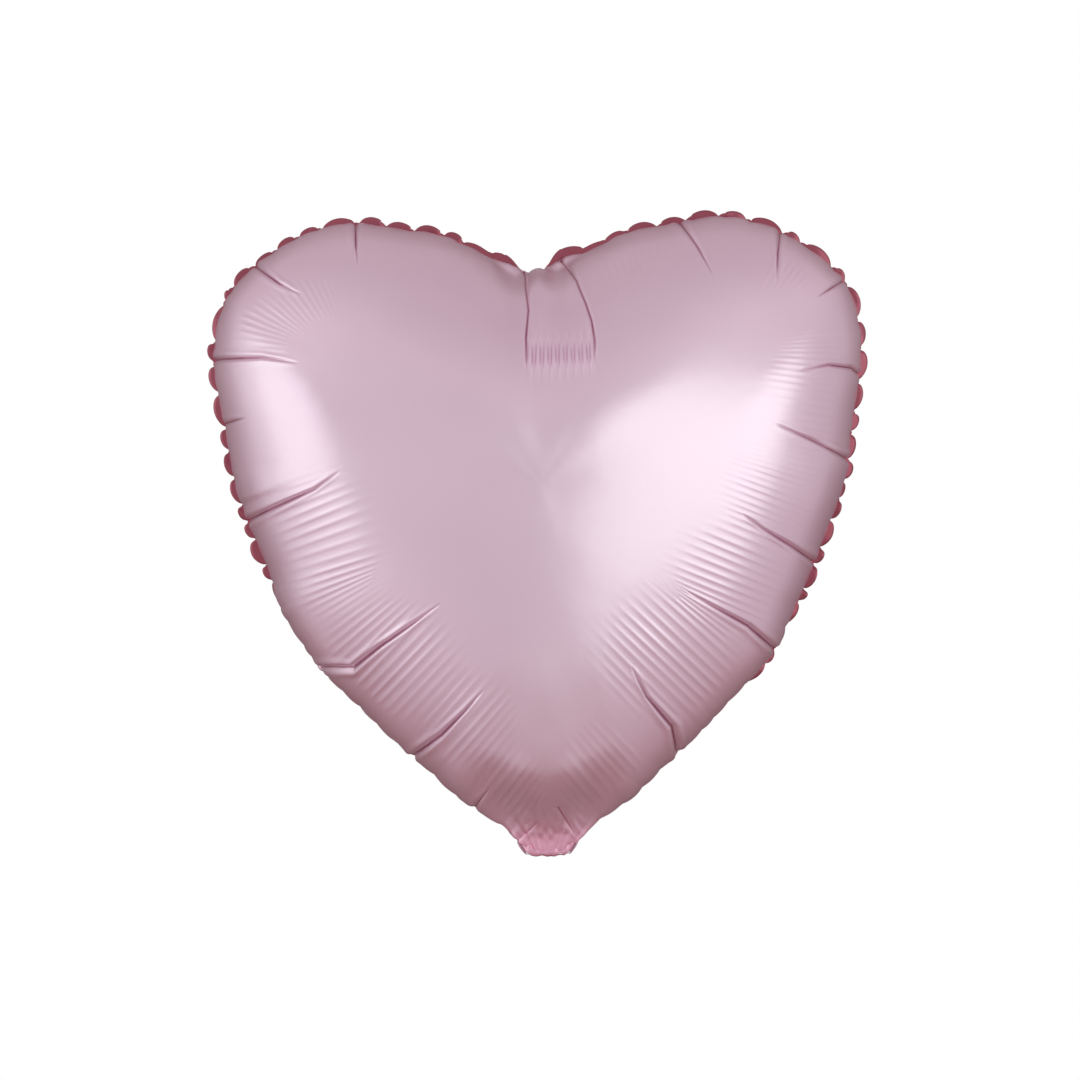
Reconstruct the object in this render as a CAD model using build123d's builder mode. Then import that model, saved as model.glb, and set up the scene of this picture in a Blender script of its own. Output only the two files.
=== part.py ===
"""Heart-shaped foil balloon, inflated, standing upright over its filling neck.

Frame: millimetres, +Z up, the front faces -Y. The origin is on the fold line of
the neck at the very tip of the heart, where a ribbon is tied.

The envelope is two film panels joined by one heat-sealed band round the heart's
edge. A flat one-way valve, two narrow strips of plastic film, runs from the
neck up into the gas space. The filling tail leaves the tip and lies folded up
behind the heart.
"""

import math
import os

from build123d import *

os.makedirs("parts", exist_ok=True)

# ------------------------------------------------------------ driving sizes
HALF_DEPTH = 107.0  # seam plane to the crown of one panel
WALL = 0.5  # panel wall; the film itself is about 0.03 thick
SEAM_PLY = 0.25  # half the thickness of the welded edge
SEAM_WIDTH = 4.5  # welded margin that stands out beyond the panels
SEAM_LAP = 1.2  # how far the band reaches in under the panels
NECK_WIDTH = 27.0  # unwelded way through the seam at the tip

# Outer edge of the heart, right half, from the notch to the tip: (x, z)
HALF_OUTLINE = [
    (0.0, 327.5),
    (23.1, 338.4),
    (51.9, 348.2),
    (85.9, 355.1),
    (121.3, 353.1),
    (151.9, 338.2),
    (173.2, 311.9),
    (180.7, 276.5),
    (177.4, 242.1),
    (170.3, 210.0),
    (161.0, 181.0),
    (150.1, 154.4),
    (137.4, 129.5),
    (122.1, 106.3),
    (103.2, 85.1),
    (82.1, 64.7),
    (58.9, 44.0),
    (33.0, 21.5),
    (25.5, 14.7),
    (19.3, 9.1),
    (12.6, 3.7),
    (0.0, 0.0),
]
CROWN = (0.0, 191.6)  # (x, z) under the highest point of each panel

# Sections of a panel: the share of its depth, then how far the section reaches
# from the crown towards the rim at the notch, over a lobe, at the side, at the tip
SECTIONS = [
    (0.0, 1.0, 1.0, 1.0, 1.0),
    (0.16, 0.980, 0.986, 0.989, 0.966),
    (0.32, 0.938, 0.944, 0.957, 0.915),
    (0.48, 0.872, 0.868, 0.899, 0.845),
    (0.63, 0.778, 0.765, 0.812, 0.752),
    (0.76, 0.662, 0.632, 0.697, 0.638),
    (0.87, 0.518, 0.478, 0.526, 0.476),
    (0.945, 0.374, 0.325, 0.330, 0.285),
    (0.985, 0.232, 0.182, 0.150, 0.135),
    (0.998, 0.110, 0.085, 0.062, 0.056),
]
SECTION_ANGLES = [0.0, 50.0, 100.0, 180.0]  # where those four reaches apply

# Filling tail, folded up behind the heart
TAIL_WIDTH = 34.0
TAIL_LENGTH = 68.0
TAIL_ROOT = 2.6  # gap from the fold line to the rigid part of the leaves
TAIL_REST = 24.0  # degrees above level, pointing backwards
LEAF = 0.3  # one foil leaf
LEAF_OFFSET = 0.45  # mid plane of the tail to a leaf's inner face
ROOT_CHAMFER = 6.0  # the leaves narrow to the gathered neck
HOLE_RADIUS = 6.0  # hole for the filling nozzle
HOLE_ALONG = 50.0  # its distance from the fold line

# Valve strips
VALVE_WIDTH = 24.0
VALVE_PLY = 0.15
VALVE_GAP = 0.1  # each side of the mid plane, where the release print lies
VALVE_TOP = 82.0
VALVE_BOTTOM = 1.6
FLAP_ROOT = 14.5  # the rear strip is held below this and lifts above it
SLEEVE_START = 5.0
SLEEVE_END = 39.0
SIDE_WELD = 2.0


# ------------------------------------------------------------ shape helpers
def inset(points, distance):
    """The half outline moved into the heart by a distance, square to its edge."""
    moved = []
    for i, (x, z) in enumerate(points):
        if i == 0:
            ahead = points[1]
            run = math.hypot(ahead[0] - x, ahead[1] - z)
            moved.append((0.0, z - distance * run / (ahead[0] - x)))
            continue
        if i == len(points) - 1:
            moved.append((0.0, z + distance))
            continue
        (xa, za), (xb, zb) = points[i - 1], points[i + 1]
        run = math.hypot(xb - xa, zb - za)
        moved.append((x + distance * (zb - za) / run, z - distance * (xb - xa) / run))
    return moved


def shrink(points, section):
    """The outline of one section of a panel."""
    made = []
    for x, z in points:
        angle = math.degrees(math.atan2(x - CROWN[0], z - CROWN[1]))
        reach = section[4]
        for i in range(3):
            a, b = SECTION_ANGLES[i], SECTION_ANGLES[i + 1]
            if angle <= b:
                t = (angle - a) / (b - a)
                t = t * t * (3.0 - 2.0 * t)
                reach = section[i + 1] + (section[i + 2] - section[i + 1]) * t
                break
        made.append((x * reach, CROWN[1] + (z - CROWN[1]) * reach))
    return made


PANEL_RIM = inset(HALF_OUTLINE, SEAM_WIDTH)
CAVITY_RIM = inset(HALF_OUTLINE, SEAM_WIDTH + WALL)


ENDS = [(0.93, 0.36), (-1.0, 0.0)]  # directions at the notch and at the tip


# ------------------------------------------------------------ film panels
with BuildPart() as front_panel:
    for section in SECTIONS:
        with BuildSketch(Plane.XZ.offset((SEAM_PLY + HALF_DEPTH * section[0]))):
            with BuildLine():
                half = Spline(*shrink(PANEL_RIM, section), tangents=ENDS)
                mirror(half, about=Plane.YZ)
            make_face()
    loft()
    for section in SECTIONS:
        with BuildSketch(Plane.XZ.offset((SEAM_PLY + (HALF_DEPTH - WALL) * section[0]))):
            with BuildLine():
                half = Spline(*shrink(CAVITY_RIM, section), tangents=ENDS)
                mirror(half, about=Plane.YZ)
            make_face()
    loft(mode=Mode.SUBTRACT)
front_panel.part.label = "front_panel"

with BuildPart() as rear_panel:
    for section in SECTIONS:
        with BuildSketch(Plane.XZ.offset(-(SEAM_PLY + HALF_DEPTH * section[0]))):
            with BuildLine():
                half = Spline(*shrink(PANEL_RIM, section), tangents=ENDS)
                mirror(half, about=Plane.YZ)
            make_face()
    loft()
    for section in SECTIONS:
        with BuildSketch(Plane.XZ.offset(-(SEAM_PLY + (HALF_DEPTH - WALL) * section[0]))):
            with BuildLine():
                half = Spline(*shrink(CAVITY_RIM, section), tangents=ENDS)
                mirror(half, about=Plane.YZ)
            make_face()
    loft(mode=Mode.SUBTRACT)
rear_panel.part.label = "rear_panel"

# ------------------------------------------------------------ welded edge
with BuildPart() as seam_band:
    with BuildSketch(Plane.XZ):
        with BuildLine():
            edge = Spline(*HALF_OUTLINE, tangents=ENDS)
            mirror(edge, about=Plane.YZ)
        make_face()
        with BuildLine():
            inner = Spline(*inset(HALF_OUTLINE, SEAM_WIDTH + SEAM_LAP), tangents=ENDS)
            mirror(inner, about=Plane.YZ)
        make_face(mode=Mode.SUBTRACT)
    extrude(amount=SEAM_PLY, both=True)
    with Locations((0, 0, 5.0)):
        Box(NECK_WIDTH, 4.0, 20.0, mode=Mode.SUBTRACT)
seam_band.part.label = "seam_band"

# ------------------------------------------------------------ valve in the balloon
with BuildPart() as valve_front_film:
    with BuildSketch(Plane.XZ.offset(VALVE_GAP)):
        with Locations((0, (VALVE_TOP + VALVE_BOTTOM) / 2)):
            Rectangle(VALVE_WIDTH, VALVE_TOP - VALVE_BOTTOM)
    extrude(amount=VALVE_PLY)
    fillet(
        valve_front_film.edges().filter_by(Axis.Y).group_by(Axis.Z)[-1], radius=4.0
    )
valve_front_film.part.label = "valve_front_film"

with BuildPart() as valve_rear_film:
    with BuildSketch(Plane.XZ.offset(-VALVE_GAP - VALVE_PLY)):
        with Locations((0, (VALVE_TOP - 6 + FLAP_ROOT) / 2)):
            Rectangle(VALVE_WIDTH, VALVE_TOP - 6 - FLAP_ROOT)
    extrude(amount=VALVE_PLY)
    fillet(
        valve_rear_film.edges().filter_by(Axis.Y).group_by(Axis.Z)[-1], radius=4.0
    )
valve_rear_film.part.label = "valve_rear_film"

# Its lower end, held flat between the panels in the neck
with BuildPart() as valve_rear_film_neck:
    with BuildSketch(Plane.XZ.offset(-VALVE_GAP - VALVE_PLY)):
        with Locations((0, (FLAP_ROOT - 0.3 + VALVE_BOTTOM) / 2)):
            Rectangle(VALVE_WIDTH, FLAP_ROOT - 0.3 - VALVE_BOTTOM)
    extrude(amount=VALVE_PLY)
valve_rear_film_neck.part.label = "valve_rear_film_neck"

# Heat-resistant print on the front strip, which keeps the channel unwelded
with BuildPart() as valve_release_print:
    with BuildSketch(Plane.XZ.offset(0.02)):
        with Locations((0, 30.0)):
            RectangleRounded(VALVE_WIDTH - 2 * SIDE_WELD - 4.0, 54.0, 2.0)
    extrude(amount=VALVE_GAP - 0.02)
valve_release_print.part.label = "valve_release_print"

# ------------------------------------------------------------ filling tail
rest = math.radians(TAIL_REST)
# local x across, local y along the tail, local z towards its front leaf
TAIL = Plane(
    origin=(0, 0, 0), x_dir=(-1, 0, 0), z_dir=(0, math.sin(rest), -math.cos(rest))
)

with BuildPart() as tail_front_leaf:
    with BuildSketch(TAIL.offset(LEAF_OFFSET)):
        with Locations((0, (TAIL_LENGTH + TAIL_ROOT) / 2)):
            leaf = Rectangle(TAIL_WIDTH, TAIL_LENGTH - TAIL_ROOT)
        chamfer(leaf.vertices().group_by(Axis.Y)[0], length=ROOT_CHAMFER)
    extrude(amount=LEAF)
    fillet(
        [
            e
            for e in tail_front_leaf.edges()
            if abs(e.length - LEAF) < 1e-6 and e.center().Y > 30
        ],
        radius=5.0,
    )
    with Locations(TAIL.offset(LEAF_OFFSET + LEAF) * Pos(0, HOLE_ALONG, 0)):
        Hole(HOLE_RADIUS, depth=LEAF)
tail_front_leaf.part.label = "tail_front_leaf"

with BuildPart() as tail_rear_leaf:
    with BuildSketch(TAIL.offset(-LEAF_OFFSET - LEAF)):
        with Locations((0, (TAIL_LENGTH + 4 + TAIL_ROOT) / 2)):
            leaf = Rectangle(TAIL_WIDTH, TAIL_LENGTH + 4 - TAIL_ROOT)
        chamfer(leaf.vertices().group_by(Axis.Y)[0], length=ROOT_CHAMFER)
    extrude(amount=LEAF)
    fillet(
        [
            e
            for e in tail_rear_leaf.edges()
            if abs(e.length - LEAF) < 1e-6 and e.center().Y > 30
        ],
        radius=5.0,
    )
tail_rear_leaf.part.label = "tail_rear_leaf"

# The valve strips' outer end, welded to each other along both sides
with BuildPart() as valve_inlet_sleeve:
    with BuildSketch(TAIL.offset(-LEAF_OFFSET)):
        with Locations((0, (SLEEVE_START + SLEEVE_END) / 2)):
            Rectangle(VALVE_WIDTH, SLEEVE_END - SLEEVE_START)
    extrude(amount=2 * LEAF_OFFSET - 0.1)
    with BuildSketch(TAIL.offset(-LEAF_OFFSET + VALVE_PLY)):
        with Locations((0, (SLEEVE_START + SLEEVE_END) / 2)):
            Rectangle(VALVE_WIDTH - 2 * SIDE_WELD, SLEEVE_END - SLEEVE_START + 2)
    extrude(amount=2 * LEAF_OFFSET - 0.1 - 2 * VALVE_PLY, mode=Mode.SUBTRACT)
valve_inlet_sleeve.part.label = "valve_inlet_sleeve"

# ------------------------------------------------------------ files
for piece in (
    front_panel,
    rear_panel,
    seam_band,
    valve_front_film,
    valve_rear_film,
    valve_rear_film_neck,
    valve_release_print,
    tail_front_leaf,
    tail_rear_leaf,
    valve_inlet_sleeve,
):
    export_step(piece.part, f"parts/{piece.part.label}.step")
    print(piece.part.label, round(piece.part.volume, 1), piece.part.bounding_box().size)
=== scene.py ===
"""Looks of the heart-shaped foil balloon.

The smooth inflated shape comes from a small solver: the film is cut flat, joined
at its edge and blown up, and may slacken but not stretch. The puckers, folds and
ripples are then laid on by formula. The welded flange, the neck and the tail are
built on to the film's edge. Metres in the scene, millimetres inside the solver.
"""

import math

import bmesh
import bpy
import numpy as np
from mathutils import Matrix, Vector


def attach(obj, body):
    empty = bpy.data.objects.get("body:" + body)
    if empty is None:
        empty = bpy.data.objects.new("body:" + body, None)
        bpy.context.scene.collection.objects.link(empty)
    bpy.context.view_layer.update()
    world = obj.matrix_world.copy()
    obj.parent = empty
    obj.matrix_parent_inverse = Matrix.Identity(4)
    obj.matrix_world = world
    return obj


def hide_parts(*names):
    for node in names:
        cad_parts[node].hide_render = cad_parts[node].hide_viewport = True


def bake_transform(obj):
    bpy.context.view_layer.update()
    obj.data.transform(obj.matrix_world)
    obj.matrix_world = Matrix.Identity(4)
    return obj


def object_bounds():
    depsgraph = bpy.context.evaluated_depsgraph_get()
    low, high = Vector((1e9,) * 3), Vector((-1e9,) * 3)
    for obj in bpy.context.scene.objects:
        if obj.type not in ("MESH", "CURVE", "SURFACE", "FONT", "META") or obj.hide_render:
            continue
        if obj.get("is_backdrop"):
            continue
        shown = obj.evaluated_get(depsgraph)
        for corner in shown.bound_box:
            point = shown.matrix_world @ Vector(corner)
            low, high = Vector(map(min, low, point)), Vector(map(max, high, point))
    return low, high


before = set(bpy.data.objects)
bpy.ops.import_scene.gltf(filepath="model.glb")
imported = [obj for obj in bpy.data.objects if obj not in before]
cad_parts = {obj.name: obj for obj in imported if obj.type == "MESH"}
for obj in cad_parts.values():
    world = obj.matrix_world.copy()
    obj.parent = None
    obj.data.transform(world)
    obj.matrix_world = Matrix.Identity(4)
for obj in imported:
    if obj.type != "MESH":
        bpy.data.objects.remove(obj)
cad_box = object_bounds()
rng = np.random.default_rng(20)

# ------------------------------------------------------------------ sizes
# Flat pattern: radius from its middle, from the notch to the tip, every 3.75 degrees
PATTERN = [
    173.4, 181.3, 187.5, 189.1, 193.4, 199.6, 205.5, 210.8, 216.6, 223.3,
    229.9, 235.2, 239.4, 242.7, 245.3, 247.2, 247.8, 246.6, 244.0, 240.3,
    236.0, 231.7, 228.1, 225.2, 222.7, 220.0, 217.6, 215.5, 214.0, 213.0,
    212.4, 212.1, 211.8, 211.7, 211.7, 211.8, 212.0, 212.5, 213.6, 215.4,
    217.6, 220.1, 223.3, 227.4, 231.9, 235.7, 240.5, 247.3, 251.2,
]
MIDDLE_Z = 209.0  # the pattern's middle above the tip
FILM_SCALE = 0.976  # the film's edge lies inside the welded flange
FLANGE = 5.0

# Deep folds of the front panel: (x, z) from the seam to the fold's inner end,
# then its depth and how far along it stays deep
FOLDS = [
    ([(-99.0, 353.3), (-98.2, 337.8), (-96.7, 326.2)], 5.0, 1.8),
    ([(-153.6, 328.5), (-140.6, 318.2), (-128.0, 311.4)], 5.0, 1.8),
    ([(-175.7, 278.0), (-149.7, 277.5), (-129.9, 273.8)], 5.0, 1.8),
    ([(-173.6, 242.6), (-160.3, 245.1)], 2.5, 1.8),
    ([(-157.6, 190.9), (-122.4, 205.1), (-107.9, 214.2)], 6.0, 1.8),
    ([(-116.1, 107.1), (-104.5, 107.4), (-88.8, 119.3), (-54.6, 142.3)], 6.5, 1.8),
    ([(-70.7, 59.7), (-57.2, 70.0), (-42.5, 84.6), (-32.9, 94.9)], 6.0, 1.8),
    ([(-38.6, 30.3), (-31.3, 40.1)], 2.5, 1.8),
    ([(-14.1, 11.6), (-3.4, 21.3)], 2.0, 1.8),
    ([(-6.5, 326.0), (-6.3, 312.2), (-5.0, 300.2), (-6.3, 284.5), (-6.0, 266.1)], 3.4, 3.0),
    ([(15.0, 327.2), (21.4, 316.6), (26.1, 303.8), (29.2, 293.2), (30.6, 282.7), (30.3, 267.8)], 3.4, 3.0),
    ([(81.7, 345.2), (88.1, 334.0), (96.5, 315.6)], 4.5, 1.8),
    ([(134.6, 339.7), (132.8, 330.4), (130.8, 313.8)], 4.5, 1.8),
    ([(167.3, 313.6), (160.5, 309.3), (152.7, 304.5)], 3.5, 1.8),
    ([(178.4, 262.5), (172.4, 266.0), (158.6, 267.4), (141.4, 263.8)], 4.5, 1.8),
    ([(167.5, 217.4), (154.4, 223.8), (127.5, 235.4)], 5.0, 1.8),
    ([(149.8, 160.3), (136.7, 168.8), (119.7, 179.1), (108.3, 187.1)], 5.0, 1.8),
    ([(124.5, 114.9), (111.5, 126.2), (77.6, 145.7)], 6.0, 1.8),
    ([(71.5, 62.4), (69.5, 71.8), (55.4, 89.2), (46.9, 106.0)], 6.5, 1.8),
    ([(10.9, 19.4), (15.7, 10.4)], 2.0, 1.8),
]

COLUMNS = 1440  # round the pattern
RINGS = 132  # from the middle to the seam

# Patches of fine parallel ripples on the front panel: middle (x, z), half sizes,
# how high they stand, and their spacing
RIPPLE_PATCHES = [
    (-120, 174, 30, 36, 0.172, 5.2),
    (-84, 112, 34, 30, 0.178, 5.4),
    (-40, 78, 24, 24, 0.158, 5.2),
    (-20, 40, 20, 22, 0.145, 4.8),
    (58, 318, 22, 20, 0.106, 4.4),
    (136, 318, 18, 14, 0.092, 4.6),
    (-150, 292, 26, 14, 0.092, 5.2),
    (-128, 308, 24, 12, 0.086, 5.2),
    (152, 258, 26, 30, 0.112, 4.2),
    (132, 200, 32, 32, 0.119, 4.0),
    (106, 152, 32, 28, 0.152, 4.6),
    (66, 110, 32, 30, 0.172, 5.2),
    (28, 48, 22, 26, 0.132, 5.0),
]


# ------------------------------------------------------------------ solver
def periodic(values, count):
    """A closed table read at `count` even steps, smoothly."""
    n = len(values)
    t = np.arange(count) * n / count
    i = np.floor(t).astype(int)
    f = (t - i)[:, None] if values.ndim > 1 else t - i
    p0, p1, p2, p3 = (values[(i + k) % n] for k in (-1, 0, 1, 2))
    return 0.5 * (2 * p1 + (p2 - p0) * f + (2 * p0 - 5 * p1 + 4 * p2 - p3) * f**2 + (3 * p1 - p0 - 3 * p2 + p3) * f**3)


def pattern(count):
    whole = np.array(PATTERN + PATTERN[-2:0:-1])
    if count == len(whole):
        return whole
    return periodic(whole, count)


def flat_grid(rho, count):
    angle = np.arange(count) * 2 * np.pi / count
    radius = pattern(count)
    x = rho[:, None] * (radius * np.sin(angle))[None]
    z = rho[:, None] * (radius * np.cos(angle))[None]
    return np.stack([x, np.zeros_like(x), z], -1)


def lengths(grid):
    ahead = np.roll(grid, -1, axis=-2)
    n = lambda a: np.sqrt((a * a).sum(-1))
    return (
        n(grid[..., 1:, :, :] - grid[..., :-1, :, :]),
        n(ahead - grid),
        n(ahead[..., 1:, :, :] - grid[..., :-1, :, :]),
        n(ahead[..., :-1, :, :] - grid[..., 1:, :, :]),
    )


def pull(a, b, rest, half, push_back):
    """Moves two sets of points until they are no further apart than the film allows."""
    d = b - a
    span = np.sqrt((d * d).sum(-1)) + 1e-6
    share = (span - rest) / span * half
    share = np.where(share > 0, share, share * push_back)
    d *= share[..., None]
    a += d
    b -= d


def settle(p, rest, steps, push, push_back, bend, keep_seam_flat=False):
    """Blows up the grid p[side, ring, column] in place."""
    radial, hoop, first, second = rest
    speed = np.zeros_like(p)
    sign = np.array([1.0, -1.0], p.dtype)[: p.shape[0], None, None, None]
    back_r = push_back[:-1, None]
    back_h = push_back[:, None]
    for step in range(steps):
        a, b = p[:, :-1], p[:, 1:]
        ar, br = np.roll(a, -1, 2), np.roll(b, -1, 2)
        n = np.cross(br - a, ar - b) * 0.125
        force = np.zeros_like(p)
        force[:, :-1] += n
        force[:, 1:] += n
        n = np.roll(n, 1, 2)
        force[:, :-1] += n
        force[:, 1:] += n
        force *= sign
        if step == 0:
            size = np.abs(force).max()
            if force[0, :, :, 1].mean() > 0:
                sign = -sign
                force = -force
        before = p.copy()
        p += 0.96 * speed + force * (push / size)
        for s in (0, 1):
            q = p[:, s:]
            m = (q.shape[1]) // 2
            pull(q[:, 0 : 2 * m : 2], q[:, 1 : 2 * m : 2], radial[s::2][:m], 0.5, back_r[s::2][:m] * 0.6)
        pull(p[:, :, 0::2], p[:, :, 1::2], hoop[:, 0::2], 0.5, back_h)
        pull(p[:, :, 1:-1:2], p[:, :, 2::2], hoop[:, 1:-1:2], 0.5, back_h)
        pull(p[:, :, -1], p[:, :, 0], hoop[:, -1], 0.5, back_h[:, 0])
        for s in (0, 1):
            q = p[:, s:]
            m = q.shape[1] // 2
            lo, hi = q[:, 0 : 2 * m : 2], q[:, 1 : 2 * m : 2]
            pull(lo[:, :, :-1], hi[:, :, 1:], first[s::2][:m][:, :-1], 0.35, back_r[s::2][:m] * 0.3)
            pull(lo[:, :, -1], hi[:, :, 0], first[s::2][:m][:, -1], 0.35, back_r[s::2][:m][:, 0] * 0.3)
            pull(hi[:, :, :-1], lo[:, :, 1:], second[s::2][:m][:, :-1], 0.35, back_r[s::2][:m] * 0.3)
            pull(hi[:, :, -1], lo[:, :, 0], second[s::2][:m][:, -1], 0.35, back_r[s::2][:m][:, 0] * 0.3)
        if bend is not None:
            lap = 0.5 * (np.roll(p, 1, 2) + np.roll(p, -1, 2)) - p
            p -= bend[:, None, None] * (0.5 * (np.roll(lap, 1, 2) + np.roll(lap, -1, 2)) - lap)
        p[:, 0] = p[:, 0].mean(1, keepdims=True)
        if p.shape[0] == 2:
            p[:, -1] = p[:, -1].mean(0, keepdims=True)
        if keep_seam_flat:
            p[:, -1, :, 1] = 0
        speed = p - before
    return p


def coarse_shape():
    """The smooth inflated front panel: 25 rings of 96 columns."""
    rho = np.linspace(0, 1, 25)
    flat = flat_grid(rho, 96)
    p = flat * 0.82
    p[..., 1] = -100 * np.sqrt(np.clip(1 - rho[:, None] ** 2, 0, 1))
    p = p[None].copy()
    rest = lengths(flat)
    slack = np.zeros(25)
    for push, steps in ((0.05, 900), (0.01, 1400), (0.003, 1200)):
        settle(p, rest, steps, push, slack, None, keep_seam_flat=True)
        mirrored = p[:, :, (-np.arange(96)) % 96] * np.array([-1.0, 1, 1])
        p = 0.5 * (p + mirrored)
    return p[0]


def resample(grid, rho_from, rho_to, columns):
    wide = np.stack([periodic(row, columns) for row in grid])
    out = np.empty((len(rho_to), columns, 3))
    # smooth in the radial way too
    n = len(rho_from)
    for k, r in enumerate(rho_to):
        t = r * (n - 1)
        i = min(int(t), n - 2)
        f = t - i
        p1, p2 = wide[i], wide[i + 1]
        p0 = wide[i - 1] if i > 0 else np.roll(wide[1], columns // 2, 0) * 1.0
        p3 = wide[i + 2] if i + 2 < n else 2 * wide[-1] - wide[-2]
        out[k] = 0.5 * (2 * p1 + (p2 - p0) * f + (2 * p0 - 5 * p1 + 4 * p2 - p3) * f**2 + (3 * p1 - p0 - 3 * p2 + p3) * f**3)
    return out


def normals(grid):
    dr = np.gradient(grid, axis=0)
    dh = np.roll(grid, -1, 1) - np.roll(grid, 1, 1)
    n = np.cross(dh, dr)
    n /= np.linalg.norm(n, axis=-1, keepdims=True) + 1e-9
    n[0] = np.array([0, -1.0, 0])
    if n[: len(n) // 2, :, 1].mean() > 0:
        n[1:] = -n[1:]
    return n


def along_fold(x, z, line):
    """Distance from each point to a polyline, and how far along it that is (0 to 1)."""
    pts = np.array(line)
    seg = np.diff(pts, axis=0)
    lens = np.linalg.norm(seg, axis=1)
    start = np.r_[0, np.cumsum(lens)]
    best = np.full(x.shape, 1e9)
    where = np.zeros(x.shape)
    for k in range(len(seg)):
        px, pz = x - pts[k, 0], z - pts[k, 1]
        t = (px * seg[k, 0] + pz * seg[k, 1]) / lens[k] ** 2
        # the first stretch runs on outwards past the seam
        t = np.clip(t, -1.0 if k == 0 else 0.0, 1.0)
        d = np.hypot(px - t * seg[k, 0], pz - t * seg[k, 1])
        near = d < best
        best = np.where(near, d, best)
        where = np.where(near, (start[k] + np.clip(t, 0, 1) * lens[k]) / start[-1], where)
    return best, where


smooth = lambda t: np.clip(t, 0, 1) ** 2 * (3 - 2 * np.clip(t, 0, 1))

# Where each pucker of the seam lies, as an angle round the pattern
fold_angles = [math.atan2(f[0][0][0], f[0][0][1] - MIDDLE_Z) % (2 * math.pi) for f in FOLDS]
marks = sorted(fold_angles)
puckers = []
for a, b in zip(marks, marks[1:] + [marks[0] + 2 * math.pi]):
    span = b - a
    count = max(1, round(span / 0.078))
    steps = np.linspace(0, 1, count + 1)[:-1]
    steps[1:] += rng.uniform(-0.30, 0.30, count - 1) / count
    puckers += [a + span * s for s in steps]
puckers = np.sort(np.array(puckers) % (2 * np.pi))


def pucker_phase(angle):
    """Grows by one from one pucker of the seam to the next."""
    wrapped = np.r_[puckers[-1] - 2 * np.pi, puckers, puckers[0] + 2 * np.pi]
    return np.interp(angle % (2 * np.pi), wrapped, np.arange(len(wrapped)))


def seam_field(grid, rim):
    """For each point: the seam's arc length at its nearest point in front view, and the distance to it."""
    rim2 = rim[:, [0, 2]].astype(np.float32)
    span = np.linalg.norm(np.roll(rim2, -1, 0) - rim2, axis=1)
    arc = np.r_[0, np.cumsum(span)[:-1]]
    pts = grid[..., [0, 2]].reshape(-1, 2).astype(np.float32)
    near = np.empty(len(pts), int)
    reach = np.empty(len(pts))
    r2 = (rim2**2).sum(1)
    for k in range(0, len(pts), 4000):
        q = pts[k : k + 4000]
        d = r2[None] - 2 * q @ rim2.T
        near[k : k + 4000] = d.argmin(1)
        reach[k : k + 4000] = d.min(1) + (q**2).sum(1)
    # between the samples, by projection on the seam's direction there
    ahead = rim2[(near + 1) % len(rim2)] - rim2[(near - 1) % len(rim2)]
    ahead /= np.linalg.norm(ahead, axis=1, keepdims=True)
    slip = ((pts - rim2[near]) * ahead).sum(1)
    slip = np.clip(slip, -0.6, 0.6)
    s = arc[near] + slip
    return s.reshape(grid.shape[:2]), np.sqrt(np.maximum(reach, 0)).reshape(grid.shape[:2]), arc, arc[-1] + span[-1]


def lower_edge(deg):
    """1 along the two lower edges, where the flange is turned back out of sight."""
    return smooth((deg - 116) / 10) * (1 - smooth((deg - 176) / 4)) + smooth((deg - 184) / 4) * (1 - smooth((deg - 244) / 10))


def closed_interp(s, xs, ys, total):
    return np.interp(s % total, np.r_[xs[-1] - total, xs, xs[0] + total], np.r_[ys[-1], ys, ys[0]])


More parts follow.
